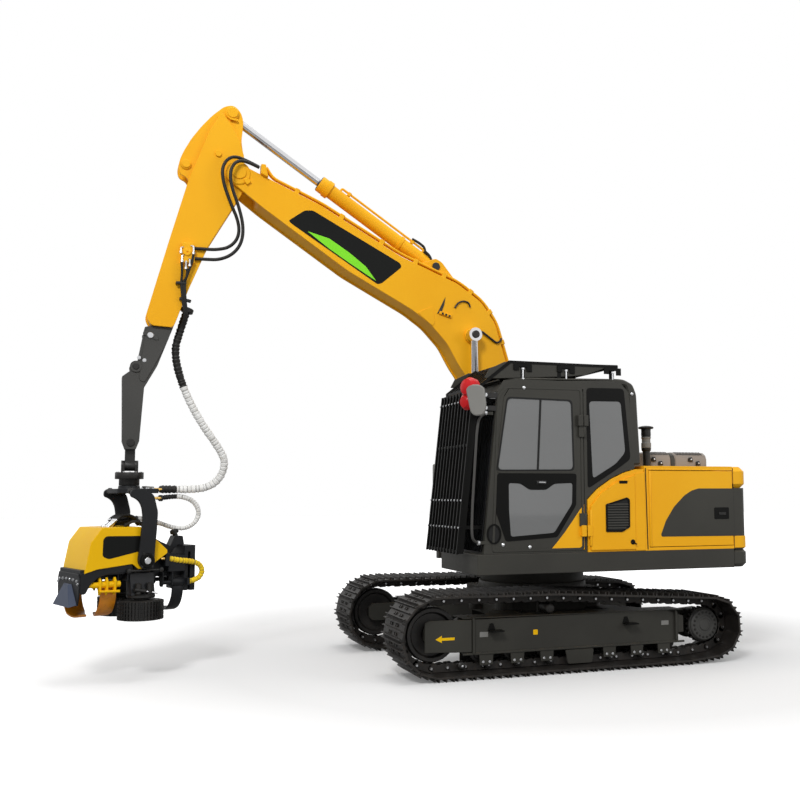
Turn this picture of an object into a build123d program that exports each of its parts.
from build123d import *
import os
from math import asin, atan2, cos, degrees, hypot, pi, radians, sin, tan

os.makedirs("parts", exist_ok=True)

# Forestry harvester on tracks, in millimetres: +X forward, +Y left, +Z up.
# The origin is on the ground, on the axis that the upper structure turns about.

# Running clearances
pin_gap = 0.3
panel_gap = 6.0
turn_gap = 0.5
seat_gap = 0.3
tube_sides = 8

# Undercarriage
gauge = 1900.0
shoe_width = 600.0
shoe_count = 45
shoe_plate = 20.0
grouser = 25.0
chain_depth = 80.0
chain_width = 150.0
idler_x, idler_z, idler_wrap = 1450.0, 385.0, 360.0
sprocket_x, sprocket_z, sprocket_wrap = -1420.0, 345.0, 290.0
lift_off_x, lift_off_wrap = -1100.0, 180.0
carrier_x, carrier_z, carrier_wrap = 280.0, 570.0, 165.0
carrier_radius = 50.0
roller_count = 5
roller_first_x, roller_last_x = -1000.0, 1010.0
roller_radius = 75.0
roller_width = 190.0
side_frame_width = 250.0
side_frame_bottom, side_frame_top = 235.0, 510.0
side_frame_back, side_frame_front = -1150.0, 1180.0
recoil_front = 1545.0
centre_frame_half = 520.0
centre_frame_bottom, centre_frame_top = 440.0, 700.0
hub_radius = 150.0
tow_bore = 40.0
tow_eye_x, tow_eye_z = 650.0, 510.0
tow_plate = 60.0
ring_radius = 560.0
ring_hole = 400.0

# Deck of the upper structure
deck_bottom, deck_top = 920.0, 1105.0
deck_half = 1242.0
deck_front, deck_back = 1090.0, -1655.0
step_front = 640.0
bay_front = 860.0
frame_plate = 40.0

# Cab
cab_right, cab_left = 255.0, 1230.0
cab_wall = 45.0
cab_floor = deck_top + seat_gap
cab_roof = 2720.0
cab_front_low, cab_front_high = 1030.0, 870.0
cab_back_low, cab_back_high = -545.0, -495.0
door_back = 0.0
glass_thick = 8.0

# House
house_top = 1920.0
house_front = -640.0
house_wall = 35.0
pump_door_back = -526.0
tail_back = -1850.0

# Boom, arm and their cylinders, all in the boom's own plane
boom_y = -100.0
boom_foot = (50.0, 1550.0)
boom_tip = (3127.0, 4778.0)
boom_half = 170.0
arm_half = 130.0
foot_radius = 110.0
boom_eye = (702.0, 3297.0)
boom_base = (662.0, 1290.0)
boom_cylinder_y = 262.0
boom_barrel_radius = 62.0
boom_rod_radius = 38.0
boom_barrel_length = 1330.0
arm_base = (1066.0, 4025.0)
arm_eye = (3188.0, 5398.0)
arm_barrel_radius = 72.0
arm_rod_radius = 40.0
arm_barrel_length = 1452.0
rod_start = 830.0
arm_end = (4052.0, 2135.0)

# Harvester head, on the rotator's axis under the arm's end
head_turn = 20.0
cross_pin_z = 1923.0
rotator_top, rotator_bottom = 1882.0, 1741.0
rotator_radius = 120.0
yoke_top, yoke_bottom = 1710.0, 1668.0
yoke_half = 335.0
yoke_plate = 30.0
tilt_x, tilt_z = -54.0, 1060.0
hood_half = 283.0
feed_x = -40.0
feed_y = 245.0
feed_radius = 205.0
feed_bottom, feed_top = 525.0, 720.0
feed_hinge_y, feed_hinge_z = 190.0, 930.0
saw_x = -520.0

head_place = Location((arm_end[0], boom_y, 0), (0, 0, head_turn))


def save(piece, label, place=None):
    """Labels a finished piece and writes it, moved to its place if one is given."""
    made = piece.part if place is None else piece.part.moved(place)
    made.label = label
    export_step(made, f"parts/{label}.step")


def side(points, low, high, mode=Mode.ADD):
    """A straight-edged profile in X and Z, solid from low to high in Y."""
    with BuildSketch(Plane.XZ.offset(-low)) as face:
        with BuildLine():
            Polyline(*points, close=True)
        make_face()
    extrude(face.sketch, amount=low - high, mode=mode)


def soft_side(points, radius, low, high, mode=Mode.ADD):
    """As side, with every corner of the profile rounded."""
    with BuildSketch(Plane.XZ.offset(-low)) as face:
        with BuildLine():
            Polyline(*points, close=True)
        make_face()
        fillet(face.vertices(), radius)
    extrude(face.sketch, amount=low - high, mode=mode)


def disc(x, z, radius, low, high, mode=Mode.ADD):
    """A round bar along Y."""
    with BuildSketch(Plane.XZ.offset(-low)) as face:
        with Locations((x, z)):
            Circle(radius)
    extrude(face.sketch, amount=low - high, mode=mode)


def block(x0, x1, y0, y1, z0, z1, mode=Mode.ADD):
    """A box between two corners."""
    with Locations(((x0 + x1) / 2, (y0 + y1) / 2, (z0 + z1) / 2)):
        Box(abs(x1 - x0), abs(y1 - y0), abs(z1 - z0), mode=mode)


def bar(start, end, radius, mode=Mode.ADD):
    """A round bar from one point to another."""
    axis = Vector(*end) - Vector(*start)
    with BuildSketch(Plane(origin=start, z_dir=axis)) as face:
        Circle(radius)
    extrude(face.sketch, amount=axis.length, mode=mode)


def pipe(points, bends, radius):
    """A tube along straight runs joined by arcs, drawn with a few flat sides."""
    with BuildLine() as path:
        FilletPolyline(*points, radius=bends)
    with BuildSketch(Plane(origin=path.line @ 0, z_dir=path.line % 0)) as face:
        RegularPolygon(radius, tube_sides)
    sweep(face.sketch, path=path.line)


def hose(points, diameter, name):
    """A hose along a route: straight runs joined by arcs as large as the runs allow."""
    corners = [Vector(*point) for point in points]
    bends = []
    for before, here, after in zip(corners, corners[1:], corners[2:]):
        turn = radians((here - before).get_angle(after - here))
        shorter = min((here - before).length, (after - here).length)
        bends.append(0.45 * shorter / tan(turn / 2))
    pipe(points, bends, diameter / 2)
    print(name, "radii", [round(bend) for bend in bends])


def cast(x, z, angle, reach, off=0.0):
    """The point at a distance along an angle in X and Z, and off to its left."""
    a = radians(angle)
    return (x + reach * cos(a) - off * sin(a), z + reach * sin(a) + off * cos(a))


def belt(wheels):
    """The closed path round wheels (x, z, radius), anticlockwise from the first bottom run."""
    runs = []
    turns = []
    count = len(wheels)
    for i in range(count):
        x, z, r = wheels[i]
        nx, nz, nr = wheels[(i + 1) % count]
        gap = hypot(nx - x, nz - z)
        turns.append(atan2(nz - z, nx - x) + asin((r - nr) / gap))
    for i in range(count):
        x, z, r = wheels[i]
        sweep_angle = (turns[i] - turns[i - 1]) % (2 * pi)
        runs.append(("arc", r * sweep_angle, x, z, r, turns[i - 1]))
        nx, nz, nr = wheels[(i + 1) % count]
        a = turns[i]
        start = (x + r * sin(a), z - r * cos(a))
        end = (nx + nr * sin(a), nz - nr * cos(a))
        runs.append(("line", hypot(end[0] - start[0], end[1] - start[1]), *start, 0, a))
    return runs


def along(runs, distance):
    """The point at a distance along a belt."""
    for kind, length, x, z, r, a in runs:
        if distance <= length:
            if kind == "arc":
                a = a + distance / r
                return (x + r * sin(a), z - r * cos(a))
            return (x + distance * cos(a), z + distance * sin(a))
        distance -= length
    return along(runs, distance)


# Tracks: each shoe is a flat plate on its pitch, with three bars across it
track_wheels = [
    (lift_off_x, grouser + lift_off_wrap, lift_off_wrap),
    (idler_x, idler_z, idler_wrap),
    (carrier_x, carrier_z, carrier_wrap),
    (sprocket_x, sprocket_z, sprocket_wrap),
]
track_runs = belt(track_wheels)
track_length = sum(run[1] for run in track_runs)
shoe_pitch = track_length / shoe_count
track_joints = [along(track_runs, i * shoe_pitch) for i in range(shoe_count)]

# A shoe's outline: share of the pitch, height above its plate
shoe_outline = [
    (0.00, -12.0),
    (0.10, grouser),
    (0.16, 0.0),
    (0.45, 0.0),
    (0.50, grouser),
    (0.55, 0.0),
    (0.84, 0.0),
    (0.90, grouser),
]


def track_loop(profile):
    """A closed outline that repeats a profile of (share, height) on every shoe."""
    points = []
    for i in range(shoe_count):
        ax, az = track_joints[i]
        bx, bz = track_joints[(i + 1) % shoe_count]
        tx, tz = (bx - ax) / shoe_pitch, (bz - az) / shoe_pitch
        for share, height in profile:
            x = ax + (bx - ax) * share + height * tz
            z = az + (bz - az) * share - height * tx
            points.append((x, z))
    return points


def ring_between(outer, inner, low, high):
    """A band between two closed outlines in X and Z, from low to high in Y."""
    with BuildSketch(Plane.XZ.offset(-low)) as face:
        with BuildLine():
            Polyline(*outer, close=True)
        make_face()
        with BuildLine():
            Polyline(*inner, close=True)
        make_face(mode=Mode.SUBTRACT)
    extrude(face.sketch, amount=low - high)


track_y = gauge / 2
with BuildPart() as track:
    ring_between(
        track_loop(shoe_outline),
        track_loop([(0.0, -shoe_plate)]),
        track_y - shoe_width / 2,
        track_y + shoe_width / 2,
    )
    ring_between(
        track_loop([(0.0, -shoe_plate / 2)]),
        track_loop([(0.0, -shoe_plate - chain_depth)]),
        track_y - chain_width / 2,
        track_y + chain_width / 2,
    )
save(track, "track_left")
track_right = BuildPart()
with track_right:
    add(track.part.mirror(Plane.XZ))
save(track_right, "track_right")

# Wheels inside the tracks, seated on the chain's inner faces
half_step = shoe_pitch / 2
idler_radius = (idler_wrap**2 - half_step**2) ** 0.5 - shoe_plate - chain_depth - turn_gap
sprocket_radius = (sprocket_wrap**2 - half_step**2) ** 0.5 - shoe_plate - chain_depth - turn_gap
chain_inner_z = grouser + shoe_plate + chain_depth
with BuildPart() as idlers:
    for hand in (-1, 1):
        y = hand * track_y
        disc(idler_x, idler_z, idler_radius, y - 80, y + 80)
save(idlers, "idlers")

with BuildPart() as sprockets:
    for hand in (-1, 1):
        y = hand * track_y
        disc(sprocket_x, sprocket_z, sprocket_radius, y - 30, y + 30)
        disc(sprocket_x, sprocket_z, hub_radius, min(y - hand * 150, y + hand * 95), max(y - hand * 150, y + hand * 95))
save(sprockets, "sprockets")

roller_z = chain_inner_z + roller_radius + turn_gap
roller_step = (roller_last_x - roller_first_x) / (roller_count - 1)
carrier_roller_z = carrier_z + carrier_wrap - shoe_plate - chain_depth - carrier_radius - 12
with BuildPart() as bottom_rollers:
    for hand in (-1, 1):
        for i in range(roller_count):
            x = roller_first_x + i * roller_step
            y = hand * track_y
            disc(x, roller_z, roller_radius, y - roller_width / 2, y + roller_width / 2)
        disc(carrier_x, carrier_roller_z, carrier_radius, track_y * hand - 85, track_y * hand + 85)
save(bottom_rollers, "track_rollers")

# Side frames: box beam with the recoil housing, the idler's fork and the roller brackets
frame_low = track_y - side_frame_width / 2
frame_high = track_y + side_frame_width / 2
with BuildPart() as track_frame:
    side(
        [
            (side_frame_back, side_frame_bottom + 60),
            (side_frame_back + 60, side_frame_bottom + 55),
            (side_frame_front, side_frame_bottom + 55),
            (side_frame_front, side_frame_top - 20),
            (side_frame_front - 40, side_frame_top),
            (side_frame_back + 200, side_frame_top),
            (side_frame_back, side_frame_top - 60),
        ],
        frame_low,
        frame_high,
    )
    for y0, y1 in ((frame_low, track_y - roller_width / 2 - seat_gap), (track_y + roller_width / 2 + seat_gap, frame_high)):
        block(side_frame_back + 60, side_frame_front, y0, y1, side_frame_bottom - 30, side_frame_bottom + 60)
    # Idler fork
    for y0, y1 in ((frame_low, track_y - 82), (track_y + 82, frame_high)):
        side(
            [
                (side_frame_front - 20, side_frame_bottom + 60),
                (recoil_front - 40, side_frame_bottom + 70),
                (recoil_front, side_frame_bottom + 110),
                (recoil_front, side_frame_top - 70),
                (recoil_front - 40, side_frame_top - 30),
                (side_frame_front - 20, side_frame_top - 30),
            ],
            y0,
            y1,
        )
    # Carrier roller stand and sprocket bracket
    block(carrier_x - 45, carrier_x + 45, frame_low, track_y - 85.3, side_frame_top - 20, carrier_roller_z + 40)
    side(
        [
            (side_frame_back + 20, side_frame_bottom + 60),
            (sprocket_x + 60, sprocket_z - hub_radius),
            (sprocket_x - 60, sprocket_z - hub_radius),
            (sprocket_x - 120, sprocket_z),
            (sprocket_x - 60, sprocket_z + hub_radius),
            (side_frame_back + 20, side_frame_top - 40),
        ],
        track_y - 220,
        track_y - 150.3,
    )
    block(side_frame_back, side_frame_back + 60, track_y - 220, frame_low + 10, side_frame_bottom + 62, side_frame_top - 60)
    # Idler yokes' bearing blocks
    for y0, y1 in ((track_y - 100, track_y - 80.3), (track_y + 80.3, track_y + 100)):
        block(idler_x - 60, idler_x + 60, y0, y1, idler_z - 60, idler_z + 60)
    mirror(about=Plane.XZ)
save(track_frame, "track_frames")

# Centre frame: a hollow box under the slewing ring, with two legs to each side frame
leg_reach = frame_low
with BuildPart() as centre_frame:
    with BuildSketch(Plane.XY.offset(centre_frame_bottom)):
        RectangleRounded(2 * centre_frame_half + 120, 2 * centre_frame_half, 140)
    extrude(amount=centre_frame_top - centre_frame_bottom)
    for hand in (-1, 1):
        for end in (-1, 1):
            with BuildSketch(Plane.XY.offset(centre_frame_bottom)) as leg:
                with BuildLine():
                    Polyline(
                        (end * 250, hand * 380),
                        (end * 560, hand * 300),
                        (end * 900, hand * leg_reach),
                        (end * 560, hand * leg_reach),
                        close=True,
                    )
                make_face()
            extrude(leg.sketch, amount=-100)
            extrude(leg.sketch, amount=70)
    with BuildSketch(Plane.XY.offset(centre_frame_top)):
        Circle(ring_radius)
    extrude(amount=60)
    with Locations((0, 0, centre_frame_bottom)):
        Cylinder(ring_hole - 60, 800, mode=Mode.SUBTRACT)
save(centre_frame, "centre_frame")

# Tow eyes: flat lugs on the centre frame's ends, bored from top to bottom
with BuildPart() as tow_lugs:
    for end in (-1, 1):
        root = centre_frame_half + 60 + seat_gap
        with BuildSketch(Plane.XY.offset(tow_eye_z - tow_plate / 2)) as lug:
            with Locations((end * (root + tow_eye_x) / 2, 0)):
                Rectangle(tow_eye_x - root, 110)
            with Locations((end * tow_eye_x, 0)):
                Circle(55)
                Circle(tow_bore / 2, mode=Mode.SUBTRACT)
        extrude(lug.sketch, amount=tow_plate)
save(tow_lugs, "tow_lugs")

with BuildPart() as slew_ring:
    with BuildSketch(Plane.XY.offset(centre_frame_top + 60)):
        Circle(ring_radius - 20)
        Circle(ring_hole, mode=Mode.SUBTRACT)
    extrude(amount=deck_bottom - turn_gap - centre_frame_top - 60)
save(slew_ring, "slew_ring")

# Deck: floor plate with deep skirts, notched at the front where the boom stands
with BuildPart() as deck:
    with BuildSketch(Plane.XY.offset(deck_bottom)) as plan:
        with BuildLine():
            Polyline(
                (deck_back, -deck_half),
                (step_front, -deck_half),
                (step_front, boom_y - 370),
                (bay_front, boom_y - 370),
                (bay_front, cab_right),
                (deck_front, cab_right),
                (deck_front, deck_half),
                (deck_back, deck_half),
                close=True,
            )
        make_face()
    extrude(amount=deck_top - deck_bottom)
    # Underside pocket, between the skirts and outside the ring
    with BuildSketch(Plane.XY.offset(deck_bottom)) as pocket:
        Rectangle(2300, 2 * deck_half - 160)
        Circle(ring_radius + 60, mode=Mode.SUBTRACT)
    extrude(pocket.sketch, amount=110, mode=Mode.SUBTRACT)
    # Ears for the boom's foot
    ear_inner = 185.0 + pin_gap
    for y0, y1 in ((boom_y + ear_inner, boom_y + ear_inner + frame_plate), (boom_y - ear_inner - frame_plate, boom_y - ear_inner)):
        side(
            [
                (boom_foot[0] - 330, deck_top - 10),
                (boom_foot[0] + 480, deck_top - 10),
                (boom_foot[0] + 95, boom_foot[1] + 60),
                (boom_foot[0] + 30, boom_foot[1] + 110),
                (boom_foot[0] - 50, boom_foot[1] + 100),
                (boom_foot[0] - 100, boom_foot[1]),
            ],
            y0,
            y1,
        )
        disc(boom_foot[0], boom_foot[1], 80, y0, y1)
    # Ears for the boom cylinders' feet
    for hand in (-1, 1):
        y = boom_y + hand * boom_cylinder_y
        ear = y - hand * (boom_barrel_radius + pin_gap)
        inner, outer = sorted((ear, ear - hand * 28))
        side(
            [
                (boom_base[0] - 200, deck_top - 10),
                (boom_base[0] + 170, deck_top - 10),
                (boom_base[0] + 60, boom_base[1] + 40),
                (boom_base[0], boom_base[1] + 72),
                (boom_base[0] - 60, boom_base[1] + 40),
            ],
            inner,
            outer,
        )
save(deck, "deck")

# Cab: one shell with its windows and doorway cut
def cab_front(z):
    """The front face's X at a height."""
    share = (z - cab_floor) / (cab_roof - cab_floor)
    return cab_front_low + (cab_front_high - cab_front_low) * share


swoosh = [(-20, 1600), (-130, 1705), (-280, 1800), (-420, 1860), (-545, 1893)]
cab_outline = [
    (cab_front_low, cab_floor),
    (cab_front(2600), 2600),
    (cab_front(2680) - 50, cab_roof - 15),
    (700, cab_roof),
    (-410, cab_roof),
    (cab_back_high, cab_roof - 90),
    (cab_back_low, 1893),
    (-420, 1860),
    (-280, 1800),
    (-130, 1705),
    (-20, 1600),
    (-20, cab_floor),
]
cab_inner = [
    (cab_front(cab_floor + 30) - cab_wall, cab_floor + 40),
    (cab_front(2600) - cab_wall, 2600),
    (700, cab_roof - cab_wall),
    (-410, cab_roof - cab_wall),
    (cab_back_high + cab_wall, cab_roof - 110),
    (cab_back_low + cab_wall, 1945),
    (-395, 1910),
    (-250, 1850),
    (-95, 1750),
    (25, 1640),
    (25, cab_floor + 40),
]
door_outline = [
    (door_back + 5, cab_floor + 25),
    (cab_front(cab_floor + 25) - 95, cab_floor + 25),
    (cab_front(2560) - 75, 2560),
    (cab_front(2640) - 120, 2640),
    (door_back + 5, 2640),
]
upper_window = [(736, 2541), (126, 2531), (114, 1876), (881, 1872)]
lower_window = [(752, 1753), (640, 1745), (560, 1690), (400, 1690), (330, 1745), (137, 1754), (150, 1560), (330, 1317), (746, 1278)]
quarter_window = [(-76, 2518), (-380, 2527), (-426, 2053), (-330, 1960), (-97, 1821)]
rear_window_half = 330.0
cab_mid = (cab_right + cab_left) / 2


with BuildPart() as cab_shell:
    side(cab_outline, cab_right, cab_left)
    side(cab_inner, cab_right + cab_wall, cab_left - cab_wall, Mode.SUBTRACT)
    # Doorway
    with BuildSketch(Plane.XZ.offset(-(cab_left - cab_wall - 5))) as doorway:
        with BuildLine():
            Polyline(*door_outline, close=True)
        make_face()
        offset(amount=panel_gap, kind=Kind.INTERSECTION)
    extrude(doorway.sketch, amount=-(cab_wall + 10), mode=Mode.SUBTRACT)
    # Quarter window on the left, one long window on the right
    soft_side(quarter_window, 35, cab_left - cab_wall - 5, cab_left + 5, Mode.SUBTRACT)
    soft_side([(780, 2540), (-380, 2540), (-426, 2000), (60, 1700), (880, 1700)], 60, cab_right - 5, cab_right + cab_wall + 5, Mode.SUBTRACT)
    # Windscreen and rear window
    block(cab_front_high - 250, cab_front_low + 50, cab_right + 90, cab_left - 90, 1330, 2560, Mode.SUBTRACT)
    block(cab_back_low - 60, cab_back_high + 60, cab_mid - rear_window_half, cab_mid + rear_window_half, 2000, 2520, Mode.SUBTRACT)
save(cab_shell, "cab_shell")

# Fixed panes, each as large as its opening
with BuildPart() as cab_windows:
    middle = cab_left - cab_wall / 2
    soft_side(quarter_window, 35, middle - glass_thick / 2, middle + glass_thick / 2)
    middle = cab_right + cab_wall / 2
    soft_side([(780, 2540), (-380, 2540), (-426, 2000), (60, 1700), (880, 1700)], 60, middle - glass_thick / 2, middle + glass_thick / 2)
    side(
        [
            (cab_front(1330) - 26, 1330),
            (cab_front(1330) - 18, 1330),
            (cab_front(2560) - 18, 2560),
            (cab_front(2560) - 26, 2560),
        ],
        cab_right + 90,
        cab_left - 90,
    )
    back_low = cab_back_low + 24 + (2000 - 1893) * 50 / 737
    back_high = cab_back_low + 24 + (2520 - 1893) * 50 / 737
    side([(back_low, 2000), (back_low + 8, 2000), (back_high + 8, 2520), (back_high, 2520)], cab_mid - rear_window_half, cab_mid + rear_window_half)
save(cab_windows, "cab_windows")

with BuildPart() as cab_door:
    soft_side(door_outline, 30, cab_left - cab_wall, cab_left)
    soft_side(upper_window, 40, cab_left - cab_wall - 5, cab_left + 5, Mode.SUBTRACT)
    side(lower_window, cab_left - cab_wall - 5, cab_left + 5, Mode.SUBTRACT)
    for z in (1410, 2250):
        block(door_back, door_back + 60, cab_left + seat_gap, cab_left + 22, z - 60, z + 60)
        block(door_back + 12, door_back + 60, cab_left - 5, cab_left + 22, z - 60, z + 60)
        bar((door_back, cab_left + 15, z - 60), (door_back, cab_left + 15, z + 60), 14)
save(cab_door, "cab_door")

with BuildPart() as cab_door_glass:
    middle = cab_left - cab_wall / 2
    soft_side(upper_window, 40, middle - glass_thick / 2, middle + glass_thick / 2)
    side(lower_window, middle - glass_thick / 2, middle + glass_thick / 2)
save(cab_door_glass, "cab_door_glass")

# Seat and controls
with BuildPart() as seat:
    block(90, 570, cab_mid - 250, cab_mid + 250, cab_floor + 380, cab_floor + 500)
    fillet(seat.edges().filter_by(Axis.Z), 40)
    seat_back_top = cab_floor + 0.712 * (cab_roof - cab_floor)
    side(
        [(110, cab_floor + 495), (210, cab_floor + 495), (130, seat_back_top), (30, seat_back_top)],
        cab_mid - 200,
        cab_mid + 200,
    )
save(seat, "seat")

with BuildPart() as console:
    block(100, 500, cab_mid - 200, cab_mid + 200, cab_floor + 40.3, cab_floor + 379.7)
    for hand in (-1, 1):
        y = cab_mid + hand * 330
        block(100, 520, y - 60, y + 60, cab_floor + 460, cab_floor + 640)
        block(110, 200, min(y, cab_mid + hand * 180), max(y, cab_mid + hand * 180), cab_floor + 200, cab_floor + 370)
        block(110, 200, y - 30, y + 30, cab_floor + 200, cab_floor + 470)
        with Locations((400, y, cab_floor + 720)):
            Cylinder(22, 180)
save(console, "console")

# Guards of round and flat bar, over the roof and before the windscreen
guard_z = cab_roof + 150.0
guard_bottom, guard_top = 1110.0, cab_roof - 108.0
guard_low_x, guard_high_x = 1258.0, 1093.0
with BuildPart() as roof_guard:
    for y in (cab_right + 20, cab_left - 60):
        side(
            [
                (-390, guard_z),
                (740, guard_z),
                (1020, guard_z - 222),
                (1020, guard_z - 245),
                (1055, guard_z - 245),
                (1055, guard_z - 212),
                (755, guard_z + 25),
                (-390, guard_z + 25),
            ],
            y,
            y + 40,
        )
        for x in (-330, 240, 620):
            block(x - 20, x + 20, y + 5, y + 35, cab_roof + 0.5, guard_z + 5)
    for i in range(11):
        x = -370 + i * 110
        block(x - 15, x + 15, cab_right + 30, cab_left - 30, guard_z + 2, guard_z + 14)
    block(1024, 1051, cab_right + 30, cab_left - 30, guard_z - 240, guard_z - 216)
    # Visor bars down the slope
    for i in range(9):
        y = cab_right + 90 + i * (cab_left - cab_right - 180) / 8
        side([(735, guard_z + 12), (760, guard_z + 12), (1045, guard_z - 216), (1027, guard_z - 216)], y - 12, y + 12)
save(roof_guard, "roof_guard")

with BuildPart() as front_guard:
    for i in range(11):
        y = cab_right + 60 + i * (cab_left - cab_right - 120) / 10
        side(
            [
                (guard_low_x, guard_bottom),
                (guard_low_x + 18, guard_bottom),
                (guard_high_x + 18, guard_top),
                (guard_high_x, guard_top),
            ],
            y - 10,
            y + 10,
        )
    for z in (guard_bottom + 25, 1349, 1595, 2100, 2520, guard_top - 12):
        x = guard_low_x + (guard_high_x - guard_low_x) * (z - guard_bottom) / (guard_top - guard_bottom)
        block(x - 8, x + 10, cab_right + 45, cab_left - 45, z - 12, z + 12)
    for z in (1349, 2520):
        x = guard_low_x + (guard_high_x - guard_low_x) * (z - guard_bottom) / (guard_top - guard_bottom)
        for y in (cab_right + 80, cab_left - 80):
            block(cab_front(z - 15) + 0.5, x + 1, y - 15, y + 15, z - 15, z + 15)
save(front_guard, "front_guard")

# House: outer walls behind and beside the cab, with the doorways cut
with BuildPart() as house_shell:
    block(deck_back, house_front, -deck_half, deck_half, deck_top + seat_gap, house_top)
    block(deck_back - 5, house_front - house_wall, -deck_half + house_wall, deck_half - house_wall, deck_top - 5, house_top - house_wall, Mode.SUBTRACT)
    # Low part beside the pumps, under the cab's rear corner
    side([(-20 - panel_gap, deck_top + seat_gap), *[(x - panel_gap, z - panel_gap) for x, z in swoosh], (house_front + 5, 1893 - panel_gap), (house_front + 5, deck_top + seat_gap)], cab_right, deck_half)
    side([(-60, deck_top - 5), (-60, 1500), (-165, 1640), (-300, 1730), (-430, 1790), (-520, 1810), (house_front - 50, 1820), (house_front - 50, deck_top - 5)], cab_right + house_wall, deck_half - house_wall, Mode.SUBTRACT)
    # Doorways
    block(-690, deck_back - 10, deck_half - house_wall - 5, deck_half + 5, deck_top + 30, house_top - 40, Mode.SUBTRACT)
    block(-690, deck_back - 10, -deck_half - 5, -deck_half + house_wall + 5, deck_top + 30, house_top - 40, Mode.SUBTRACT)
    # Opening under the engine hood
    block(-1640, -1010, -740, 740, house_top - house_wall - 5, house_top + 5, Mode.SUBTRACT)
save(house_shell, "house_shell")

with BuildPart() as pump_door:
    side([(-50, deck_top + 20), (-50, 1530), (-160, 1655), (-300, 1745), (-430, 1800), (pump_door_back, 1828), (pump_door_back, deck_top + 20)], deck_half + seat_gap, deck_half + 20)
    bar((-50, deck_half + 14, deck_top + 60), (-50, deck_half + 14, 1500), 13)
save(pump_door, "pump_door")

with BuildPart() as rear_door_left:
    block(-696, deck_back + 6, deck_half - house_wall, deck_half, deck_top + 36, house_top - 46)
    bar((-703, deck_half, deck_top + 36), (-703, deck_half, house_top - 46), 12.7)
save(rear_door_left, "rear_door_left")

with BuildPart() as rear_door_right:
    block(-696, deck_back + 6, -deck_half, -deck_half + house_wall, deck_top + 36, house_top - 46)
    bar((-703, -deck_half, deck_top + 36), (-703, -deck_half, house_top - 46), 12.7)
save(rear_door_right, "rear_door_right")

with BuildPart() as counterweight:
    block(tail_back, deck_back - seat_gap, -deck_half, deck_half, deck_bottom, house_top)
    fillet(counterweight.edges().filter_by(Axis.Z).group_by(Axis.X)[0], 130)
    side([(tail_back - 5, deck_bottom - 5), (tail_back + 95, deck_bottom - 5), (tail_back - 5, deck_bottom + 125)], -deck_half, deck_half, Mode.SUBTRACT)
save(counterweight, "counterweight")

with BuildPart() as engine_hood:
    soft_side([(-1000, house_top + seat_gap), (-1000, 2040), (-1050, 2080), (-1600, 2080), (-1690, 2030), (-1700, house_top + seat_gap)], 30, -760, 760)
    soft_side([(-1020, house_top - 30), (-1020, 2030), (-1060, 2060), (-1590, 2060), (-1665, 2010), (-1680, house_top - 30)], 20, -740, 740, Mode.SUBTRACT)
    disc(-1000, house_top + 14, 13, -760, 760)
save(engine_hood, "engine_hood")

with BuildPart() as engine_block:
    block(-1480, -1020, -450, 450, deck_top + seat_gap, 1750)
save(engine_block, "engine_block")

# Right side: tanks, then a tool box with steps
tank_left = boom_y - 390
tank_front = 120.0
box_wall = 20.0
box_top = 1480.0
with BuildPart() as tanks:
    block(house_front + 5, tank_front, -deck_half, tank_left, deck_top + seat_gap, 1860)
    fillet(tanks.edges().filter_by(Axis.Z), 50)
save(tanks, "tanks")

with BuildPart() as tool_box:
    block(tank_front + 5, step_front - 10, -deck_half + 10, tank_left, deck_top + seat_gap, box_top)
    block(
        tank_front + 5 + box_wall,
        step_front - 10 - box_wall,
        -deck_half + 10 + box_wall,
        tank_left - box_wall,
        deck_top + box_wall,
        box_top + 5,
        Mode.SUBTRACT,
    )
save(tool_box, "tool_box")

with BuildPart() as tool_box_lid:
    block(tank_front + 5, step_front - 10, -deck_half + 10, tank_left, box_top + seat_gap, box_top + 25)
    bar((tank_front + 5, tank_left, box_top + 14), (step_front - 10, tank_left, box_top + 14), 11)
save(tool_box_lid, "tool_box_lid")

with BuildPart() as pre_cleaner:
    with BuildSketch(Plane.XY.offset(house_top + 0.5)):
        with Locations((-905, 850)):
            Circle(50)
    extrude(amount=380)
    with BuildSketch(Plane.XY.offset(2180)):
        with Locations((-905, 850)):
            Circle(85)
    extrude(amount=180)
save(pre_cleaner, "pre_cleaner")

with BuildPart() as exhaust:
    with BuildSketch(Plane.XY.offset(house_top + 0.5)):
        with Locations((-905, -850)):
            Circle(55)
    extrude(amount=330)
save(exhaust, "exhaust")

with BuildPart() as mirrors:
    block(870, 900, cab_left + 0.3, cab_left + 20, 2310, 2370)
    bar((885, cab_left + 10, 2340), (1067, cab_left + 130, 2480), 11)
    block(1050, 1085, cab_left + 40, cab_left + 220, 2380, 2650)
    bar((600 + 16.5, -deck_half - 20, 1850), (635, -deck_half - 20, 1850), 10)
    block(630, 655, -deck_half - 90, -deck_half + 60, 1750, 2000)
save(mirrors, "mirrors")

rail_y = -deck_half - 20
with BuildPart() as handrails:
    bar((600, rail_y, deck_top + 60), (600, rail_y, 1990), 16)
    bar((600, rail_y, 1978), (50, rail_y, 2150), 16)
    bar((50, rail_y, 2162), (50, rail_y, 1700), 16)
    block(580, 620, rail_y - 10, -deck_half + 9.5, deck_top + 50, deck_top + 90)
    block(30, 70, rail_y - 10, -deck_half - 0.5, 1690, 1730)
save(handrails, "handrails")

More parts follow.
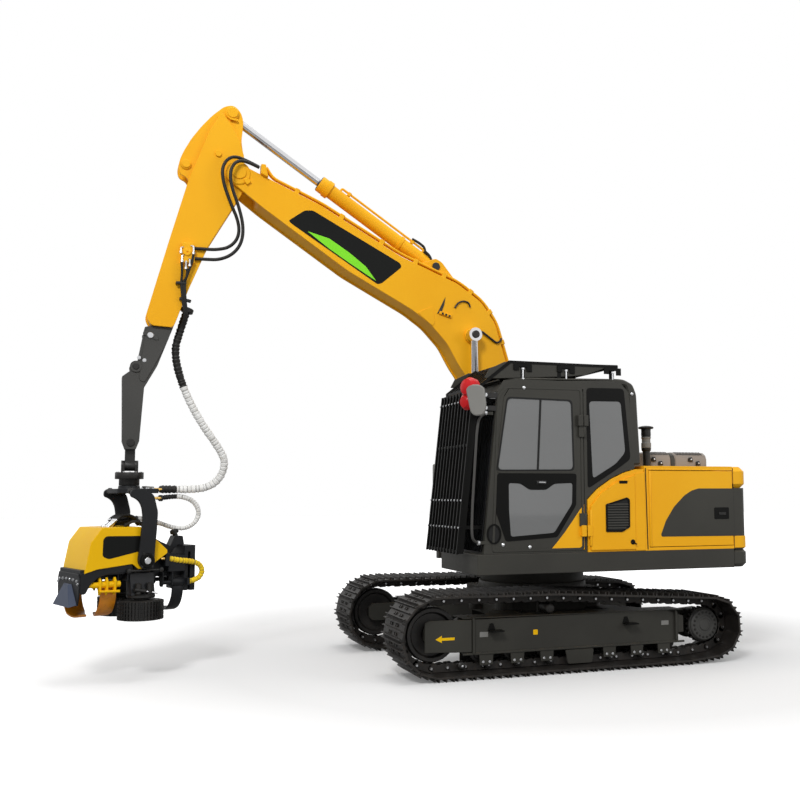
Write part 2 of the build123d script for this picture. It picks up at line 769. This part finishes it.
# Boom: a welded box that bends twice, deepest at the bend
boom_outline = [
    (boom_foot[0] + 105, boom_foot[1] - 60),
    (743, 2852),
    (844, 2994),
    (965, 3206),
    (1147, 3398),
    (1349, 3539),
    (2026, 3893),
    (2885, 4459),
    (3210, 4700),
    (3215, 4830),
    (3127, 4880),
    (2723, 4711),
    (2309, 4539),
    (1470, 4085),
    (844, 3842),
    (581, 3660),
    (430, 3448),
    (329, 3115),
    (308, 3044),
    (boom_foot[0] - 105, boom_foot[1] + 40),
]
with BuildPart() as boom:
    side(boom_outline, boom_y - boom_half, boom_y + boom_half)
    disc(boom_foot[0], boom_foot[1], foot_radius, boom_y - 185, boom_y + 185)
    # The tip is a fork round the arm
    side([(2960, 4300), (3400, 4300), (3400, 5100), (2960, 5100)], boom_y - arm_half - 8, boom_y + arm_half + 8, Mode.SUBTRACT)
    disc(boom_tip[0], boom_tip[1], 202, boom_y - arm_half - 8, boom_y + arm_half + 8, Mode.SUBTRACT)
    disc(boom_tip[0], boom_tip[1], 118, boom_y + arm_half + 8, boom_y + boom_half + 14)
    disc(boom_tip[0], boom_tip[1], 118, boom_y - boom_half - 14, boom_y - arm_half - 8)
    # Bosses for the boom cylinders' eyes
    boss = boom_cylinder_y - 50 - pin_gap
    disc(boom_eye[0], boom_eye[1], 75, boom_y - boss, boom_y + boss)
    # Bracket for the arm cylinder's base
    for hand in (-1, 1):
        y0, y1 = sorted((boom_y + hand * (arm_barrel_radius + pin_gap), boom_y + hand * (arm_barrel_radius + 28)))
        side([(880, 3800), (1330, 3990), (1130, 4085), (1066, 4110), (1000, 4070)], y0, y1)
    # Block that the tip hoses leave
    side([(2810, 4740), (2920, 4790), (2920, 4885), (2840, 4885), (2810, 4830)], boom_y + arm_half + 8, boom_y + arm_half + 86)
save(boom, "boom")

# Cylinders
def cylinder_angle(base, eye):
    """Angle and length from a cylinder's base pin to its eye."""
    return degrees(atan2(eye[1] - base[1], eye[0] - base[0])), hypot(eye[0] - base[0], eye[1] - base[1])


boom_lean, boom_reach = cylinder_angle(boom_base, boom_eye)
arm_lean, arm_reach = cylinder_angle(arm_base, arm_eye)


def barrel(base, lean, length, radius, bore, y, eye_half):
    """A cylinder's barrel with its base eye and gland."""
    start = cast(*base, lean, radius / 2)
    end = cast(*base, lean, length)
    bar((start[0], y, start[1]), (end[0], y, end[1]), radius)
    neck = cast(*base, lean, length - 130)
    bar((neck[0], y, neck[1]), (end[0], y, end[1]), radius + 12)
    disc(*base, radius - 2, y - eye_half, y + eye_half)
    well = cast(*base, lean, 240)
    bar((well[0], y, well[1]), (end[0] + (end[0] - well[0]) * 0.1, y, end[1] + (end[1] - well[1]) * 0.1), bore, Mode.SUBTRACT)


def rod(base, lean, length, reach, radius, y, eye_half, eye_radius):
    """A cylinder's rod, from inside its barrel to its eye."""
    inside = cast(*base, lean, rod_start)
    eye = cast(*base, lean, reach)
    bar((inside[0], y, inside[1]), (eye[0], y, eye[1]), radius)
    disc(*eye, eye_radius, y - eye_half, y + eye_half)


with BuildPart() as boom_barrels:
    for hand in (-1, 1):
        barrel(boom_base, boom_lean, boom_barrel_length, boom_barrel_radius, boom_rod_radius + pin_gap, boom_y + hand * boom_cylinder_y, boom_barrel_radius)
save(boom_barrels, "boom_cylinder_barrels")

with BuildPart() as boom_rods:
    for hand in (-1, 1):
        rod(boom_base, boom_lean, boom_barrel_length, boom_reach, boom_rod_radius, boom_y + hand * boom_cylinder_y, 50, 70)
save(boom_rods, "boom_cylinder_rods")

with BuildPart() as arm_barrel:
    barrel(arm_base, arm_lean, arm_barrel_length, arm_barrel_radius, arm_rod_radius + pin_gap, boom_y, arm_barrel_radius)
save(arm_barrel, "arm_cylinder_barrel")

with BuildPart() as arm_rod:
    rod(arm_base, arm_lean, arm_barrel_length, arm_reach, arm_rod_radius, boom_y, 60, 72)
save(arm_rod, "arm_cylinder_rod")

# Arm: a tapered box with ears for its cylinder at the top
arm_outline = [
    (3269, 5429),
    (3582, 4726),
    (3950, 3323),
    (3905, 3240),
    (3698, 3229),
    (3567, 3605),
    (3390, 4044),
    (3077, 4600),
    (3067, 4964),
    (3107, 5348),
    (3188, 5470),
]
with BuildPart() as arm:
    side(arm_outline, boom_y - arm_half, boom_y + arm_half)
    disc(boom_tip[0], boom_tip[1], 90, boom_y - arm_half - 8 + pin_gap, boom_y + arm_half + 8 - pin_gap)
    # Gap between the ears for the cylinder's eye
    side([(2950, 5180), (3230, 5240), (3420, 5150), (3420, 5600), (2950, 5600)], boom_y - 60 - pin_gap, boom_y + 60 + pin_gap, Mode.SUBTRACT)
    # Hose manifold on the left face, and the clamp behind it that holds the sleeve
    block(3530, 3640, boom_y + arm_half - 1, boom_y + arm_half + 48, 3860, 4040)
    bar(cast(3574, 3400, -73.4, -90, 0)[:1] + (boom_y,) + cast(3574, 3400, -73.4, -90, 0)[1:], (3574, boom_y, 3400), 58)
save(arm, "arm")

with BuildPart() as arm_extension:
    side(
        [(3954, 3226), (4020, 2850), (4144, 2751), (4128, 2150), (4100, 2075), (4005, 2075), (3977, 2150), (3946, 2655), (3830, 2870), (3700, 3228.8), (3905, 3239.7)],
        boom_y - 95,
        boom_y + 95,
    )
    side([(3900, 1950), (4200, 1950), (4200, 2260), (3900, 2260)], boom_y - 55 - pin_gap, boom_y + 55 + pin_gap, Mode.SUBTRACT)
save(arm_extension, "arm_extension")

# Link and rotator, hanging from the arm's end
with BuildPart() as swing_link:
    disc(arm_end[0], arm_end[1], 52, boom_y - 55, boom_y + 55)
    with Locations((arm_end[0], boom_y, (arm_end[1] + cross_pin_z) / 2)):
        Box(90, 70, arm_end[1] - cross_pin_z - 40)
    with BuildSketch(Plane.YZ.offset(arm_end[0] - 45)) as eye:
        with Locations((boom_y, cross_pin_z)):
            Circle(48)
    extrude(eye.sketch, amount=90)
save(swing_link, "swing_link")

with BuildPart() as rotator:
    for hand in (-1, 1):
        x = arm_end[0] + hand * (45 + pin_gap)
        with BuildSketch(Plane.YZ.offset(x)) as cheek:
            with Locations((boom_y, cross_pin_z)):
                Circle(50)
            with Locations((boom_y, cross_pin_z - 45)):
                Rectangle(100, 90)
        extrude(cheek.sketch, amount=hand * 30)
    with BuildSketch(Plane.XY.offset(rotator_bottom)) as body:
        with Locations((arm_end[0], boom_y)):
            Circle(rotator_radius - 28)
    extrude(body.sketch, amount=rotator_top - 20 - rotator_bottom)
    with BuildSketch(Plane.XY.offset(rotator_bottom + 60)) as flange:
        with Locations((arm_end[0], boom_y)):
            Circle(rotator_radius + 8)
    extrude(flange.sketch, amount=rotator_top - 20 - rotator_bottom - 60)
save(rotator, "rotator")

# Everything below hangs in the head's own frame, with X to its front
yoke_arm = [
    (300, 1622),
    (300, 1668),
    (240, yoke_top),
    (-20, yoke_top),
    (-105, 1650),
    (-145, 1500),
    (-140, 1340),
    (-125, 1150),
    (-124, 1060),
    (-94, 985),
    (-14, 985),
    (31, 1060),
    (10, 1250),
    (14, 1459),
    (28, 1550),
    (60, 1590),
    (105, 1622),
]
with BuildPart() as yoke:
    with Locations((0, 0, (rotator_bottom + yoke_top) / 2 - turn_gap / 2)):
        Cylinder(95, rotator_bottom - yoke_top - turn_gap)
    block(-150, 150, -yoke_half, yoke_half, yoke_bottom, yoke_top)
    block(-300, -140, -60, 60, 1590, 1755)
    for hand in (-1, 1):
        y0, y1 = sorted((hand * (yoke_half - yoke_plate), hand * yoke_half))
        side(yoke_arm, y0, y1)
        disc(tilt_x, tilt_z, 75, y0, y1)
save(yoke, "yoke", head_place)

hood_profile = [
    (487, 968),
    (437, 1236),
    (343, 1362),
    (-7, 1365),
    (-136, 1265),
    (-267, 1147),
    (-267, 1120),
    (-150, 1040),
    (-112, 985),
    (4, 985),
    (60, 1035),
    (379, 1001),
]
hood_inside = [(476, 900), (424, 1233), (337, 1350), (-4, 1353), (-129, 1255), (-300, 1101), (-300, 900)]
rear_bracket = [
    (-100, 1283),
    (-276, 1305),
    (-558, 1267),
    (-555, 1180 + seat_gap),
    (-470, 1180 + seat_gap),
    (-432, 1144),
    (-405, 1100 + seat_gap),
    (-180, 1100 + seat_gap),
]
with BuildPart() as head_hood:
    side(hood_profile, -hood_half, hood_half)
    side(hood_inside, -hood_half + 12, hood_half - 12, Mode.SUBTRACT)
    # Block on top that the tilt hose ends on
    side([(120, 1355), (200, 1355), (200, 1436), (120, 1436)], -95, 95)
    # Bracket behind, with its buffer
    side(rear_bracket, -40, 40)
    block(-400, -350, -40, 40, 1262, 1328)
save(head_hood, "head_hood", head_place)

front_hinge = (195.0, 855.0)
rear_hinge = (195.0, 845.0)
front_lugs = [(164, 174), (320, 332), (502, 514)]
rear_lugs = [(-472, -462), (-350, -340), (-258, -248)]
knife_gap = 2.0
knife_pin = 20.0
knife_hub = 38.0
front_plate = 530.0
with BuildPart() as head_frame:
    block(-415, 440, -140, 140, 900, 1100)
    block(saw_x - 60, front_plate, -140, 140, 900, 940)
    for hand in (-1, 1):
        y0, y1 = sorted((hand * (hood_half - 12 - pin_gap), hand * 135))
        block(tilt_x - 90, tilt_x + 90, y0, y1, 992, 1140)
        y0, y1 = sorted((hand * (hood_half + pin_gap), hand * (yoke_half - yoke_plate - pin_gap)))
        disc(tilt_x, tilt_z, 70, y0, y1)
        # Lugs each side of a feed arm
        for x0, x1 in ((feed_x - 130, feed_x - 110.3), (feed_x + 110.3, feed_x + 130)):
            y0, y1 = sorted((hand * 135, hand * (feed_hinge_y + 50)))
            block(x0, x1, y0, y1, feed_hinge_z - 50, feed_hinge_z + 45)
        # Lugs and pins that carry the knives
        for (y, z), lugs in ((front_hinge, front_lugs), (rear_hinge, rear_lugs)):
            outer = y + knife_hub
            for x0, x1 in lugs:
                with BuildSketch(Plane.YZ.offset(x0)) as lug:
                    with BuildLine():
                        Polyline(
                            (hand * 130, z + 95),
                            (hand * outer, z + 95),
                            (hand * outer, z - 20),
                            (hand * (y + 20), z - knife_hub),
                            (hand * (y - 20), z - knife_hub),
                            (hand * (y - knife_hub), z - 20),
                            (hand * (y - knife_hub), z + 45),
                            (hand * 130, z + 57),
                            close=True,
                        )
                    make_face()
                extrude(lug.sketch, amount=x1 - x0)
            bar((lugs[0][0], hand * y, z), (lugs[-1][1], hand * y, z), knife_pin)
    block(saw_x - 60, saw_x + 45, -200, 200, 760, 1180)
    block(saw_x - 12, saw_x + 12, -175, 260, 700, 1120, Mode.SUBTRACT)
    # Bosses that the saw bar turns between
    for x in (saw_x - 12, saw_x + 4.3):
        bar((x, -110, 1000), (x + 7.7, -110, 1000), 34)
    # Saw motor
    with BuildSketch(Plane.YZ.offset(saw_x - 137)) as motor:
        with Locations((-110, 1000)):
            Circle(60)
    extrude(motor.sketch, amount=80)
    side([(-655, 1055), (-575, 1035), (-575, 1100)], -12, 12)
    # Fittings at the ends of the yellow hose
    block(-300, -262, 135, 258, 1000, 1115)
    block(saw_x + 20, saw_x + 45, 195, 268, 818, 880)
save(head_frame, "head_frame", head_place)

# Plate before the front knives, cut to a V underneath
with BuildPart() as fixed_knife:
    block(front_plate + seat_gap, 546, -85, 85, 905, 940)
    block(540, 549, -85, 85, 840, 906)
    with BuildSketch(Plane.YZ.offset(545)) as plate:
        with BuildLine():
            Polyline((-190, 848), (190, 848), (275, 705), (250, 690), (0, 664), (-250, 690), (-275, 705), close=True)
        make_face()
    extrude(plate.sketch, amount=12)
save(fixed_knife, "fixed_knife", head_place)


def knife(x0, x1, hinge, reach, thick, tip_angle):
    """A curved knife round the stem, as wide as x0 to x1, hinged along X on its pin."""
    hinge_y, hinge_z = hinge
    middle = reach + thick / 2
    stem_z = hinge_z - (middle**2 - hinge_y**2) ** 0.5
    root_angle = degrees(atan2(hinge_z - stem_z, hinge_y))
    with BuildSketch(Plane.YZ.offset(x0)) as blade:
        with BuildLine():
            outer = CenterArc((0, stem_z), reach + thick, tip_angle, root_angle - tip_angle)
            inner = CenterArc((0, stem_z), reach, tip_angle, root_angle - tip_angle)
            Line(outer @ 0, inner @ 0)
            Line(outer @ 1, inner @ 1)
        make_face()
        with Locations((hinge_y, hinge_z)):
            Circle(knife_hub)
            Circle(knife_pin + pin_gap, mode=Mode.SUBTRACT)
    extrude(blade.sketch, amount=x1 - x0)
    # The tip narrows from both sides
    third = (x1 - x0) * 0.33
    for edge, inward in ((x0, third), (x1, -third)):
        with BuildSketch(Plane.XY.offset(stem_z - 2 * reach)) as corner:
            with BuildLine():
                Polyline((edge, 110), (edge, -middle), (edge + inward, -middle), (edge + inward, -90), close=True)
            make_face()
        extrude(corner.sketch, amount=2 * reach, mode=Mode.SUBTRACT)


def knife_pair(lugs, hinge, reach, name):
    """Left and right knives between their lugs, the right one a step ahead."""
    with BuildPart() as left_knife:
        knife(lugs[0][1] + knife_gap, lugs[1][0] - knife_gap, hinge, reach, 16, -112)
    save(left_knife, f"{name}_left", head_place)
    with BuildPart() as other:
        knife(lugs[1][1] + knife_gap, lugs[2][0] - knife_gap, hinge, reach, 16, -112)
    with BuildPart() as right_knife:
        add(other.part.mirror(Plane.XZ))
    save(right_knife, f"{name}_right", head_place)


knife_pair(front_lugs, front_hinge, 200, "front_knife")
knife_pair(rear_lugs, rear_hinge, 196, "rear_knife")

with BuildPart() as feed_arm_left:
    with BuildSketch(Plane.YZ.offset(feed_x - 110)) as arm_side:
        with BuildLine():
            Polyline((feed_hinge_y - 20, feed_hinge_z + 40), (feed_hinge_y + 60, feed_hinge_z + 20), (feed_y + 60, feed_top + 10), (feed_y - 60, feed_top + 10), (feed_hinge_y - 25, feed_hinge_z - 60), close=True)
        make_face()
        with Locations((feed_hinge_y, feed_hinge_z)):
            Circle(45)
    extrude(arm_side.sketch, amount=220)
save(feed_arm_left, "feed_arm_left", head_place)
with BuildPart() as feed_arm_right:
    add(feed_arm_left.part.mirror(Plane.XZ))
save(feed_arm_right, "feed_arm_right", head_place)

with BuildPart() as feed_roller_left:
    with BuildSketch(Plane.XY.offset(feed_bottom)) as tread:
        with Locations((feed_x, feed_y)):
            Circle(feed_radius - 20)
            with PolarLocations(feed_radius - 22, 16):
                Rectangle(40, 24)
    extrude(tread.sketch, amount=feed_top - feed_bottom)
    with BuildSketch(Plane.XY.offset(feed_top)) as shaft:
        with Locations((feed_x, feed_y)):
            Circle(50)
    extrude(shaft.sketch, amount=10 - pin_gap)
save(feed_roller_left, "feed_roller_left", head_place)
with BuildPart() as feed_roller_right:
    add(feed_roller_left.part.mirror(Plane.XZ))
save(feed_roller_right, "feed_roller_right", head_place)

with BuildPart() as saw_bar:
    with BuildSketch(Plane.YZ.offset(saw_x - 4)) as bar_side:
        with Locations((-110, 1000)):
            Circle(45)
        with BuildLine():
            Polyline((-150, 1000), (-70, 1000), (-80, 760), (-110, 730), (-140, 760), close=True)
        make_face()
    extrude(bar_side.sketch, amount=8)
save(saw_bar, "saw_bar", head_place)

# Steel pipes along the boom's back, on clamps that stand on its plate
pipe_rise = 34.0
pipe_radius = 11.0
clamp_half = 22.0
boom_back = [(272, 2900), (308, 3044), (430, 3448), (581, 3660), (844, 3842), (1470, 4085), (2309, 4539), (2800, 4743)]


def beside(points, rise):
    """A route in X and Z moved to its left by a distance, its corners kept sharp."""
    moved = []
    for i, (x, z) in enumerate(points):
        bx, bz = points[max(i - 1, 0)]
        nx, nz = points[min(i + 1, len(points) - 1)]
        before = atan2(z - bz, x - bx) if i else atan2(nz - z, nx - x)
        after = atan2(nz - z, nx - x) if i < len(points) - 1 else before
        middle = (before + after) / 2
        reach = rise / cos((after - before) / 2)
        moved.append((x - reach * sin(middle), z + reach * cos(middle)))
    return moved


with BuildPart() as boom_pipes:
    lower = beside(boom_back, pipe_rise - pipe_radius)
    upper = beside(boom_back, pipe_rise + pipe_radius)
    for off in (112, 146):
        side([*lower, *reversed(upper)], boom_y + off - pipe_radius, boom_y + off + pipe_radius)
    for i in (0, 1, 3, 4, 5, 6):
        (x0, z0), (x1, z1) = boom_back[i], boom_back[i + 1]
        size = hypot(x1 - x0, z1 - z0)
        lean = degrees(atan2(z1 - z0, x1 - x0))
        foot = cast(x0, z0, lean, size / 2, seat_gap)
        corners = [cast(*foot, lean, step, up) for step, up in
                   ((-clamp_half, 0), (clamp_half, 0), (clamp_half, pipe_rise + 15), (-clamp_half, pipe_rise + 15))]
        side(corners, boom_y + 101, boom_y + 162)
save(boom_pipes, "boom_pipes")

# Hoses that hang free
tip_hose = 32.0
with BuildPart() as tip_hose_upper:
    hose(
        [
            (2929.3, 56, 4868),
            (3060, 58, 4925),
            (3200, 104, 4935),
            (3292, 138, 4815),
            (3280, 140, 4650),
            (3208, 136, 4460),
            (3120, 128, 4270),
            (3118, 118, 4125),
            (3200, 100, 4025),
            (3320, 76, 3998),
            (3425, 54, 4000),
            (3529.4, 52, 4000),
        ],
        tip_hose,
        "tip_hose_upper",
    )
save(tip_hose_upper, "tip_hose_upper")

with BuildPart() as tip_hose_lower:
    hose(
        [
            (2929, 94, 4848),
            (3050, 110, 4893),
            (3160, 156, 4872),
            (3222, 182, 4760),
            (3205, 182, 4600),
            (3130, 174, 4415),
            (3080, 166, 4220),
            (3095, 150, 4060),
            (3175, 128, 3950),
            (3295, 92, 3898),
            (3415, 58, 3900),
            (3528.8, 52, 3900),
        ],
        tip_hose,
        "tip_hose_lower",
    )
save(tip_hose_lower, "tip_hose_lower")

sleeve = 80.0
with BuildPart() as head_hose_sleeve:
    hose(
        [
            (3574.2, -100, 3399.4),
            (3632, -100, 3205),
            (3680, -102, 3010),
            (3600, -104, 2700),
            (3440, -120, 2380),
            (3195, -162, 2049),
            (3173, -178, 1946),
            (3197, -200, 1844),
            (3262, -222, 1761),
            (3357, -243, 1716),
            (3490, -260, 1705),
            (3629.1, -253.9, 1705),
            (3769.7, -202.75, 1705),
        ],
        sleeve,
        "head_hose_sleeve",
    )
save(head_hose_sleeve, "head_hose_sleeve")

loop_hose = 50.0
with BuildPart() as tilt_hose_loop:
    hose(
        [
            (-305.6, -4, 1622),
            (-430, -4, 1640),
            (-560, 0, 1632),
            (-665, 6, 1575),
            (-705, 8, 1475),
            (-668, 6, 1385),
            (-570, 0, 1330),
            (-440, -6, 1340),
            (-310, -12, 1388),
            (-180, -22, 1426),
            (-60, -30, 1440),
            (30, -30, 1404),
            (119.5, -30, 1403),
        ],
        loop_hose,
        "tilt_hose_loop",
    )
save(tilt_hose_loop, "tilt_hose_loop", head_place)

# Yellow hose from the head's frame round to the saw box
yellow_hose = 54.0
with BuildPart() as saw_hose:
    hose(
        [
            (-306.8, 228, 1066.5),
            (-395, 232, 1046),
            (-500, 238, 1036),
            (-600, 240, 1010),
            (-640, 240, 942),
            (-610, 238, 876),
            (-540, 234, 850),
            (-502.2, 233, 848),
        ],
        yellow_hose,
        "saw_hose",
    )
save(saw_hose, "saw_hose", head_place)
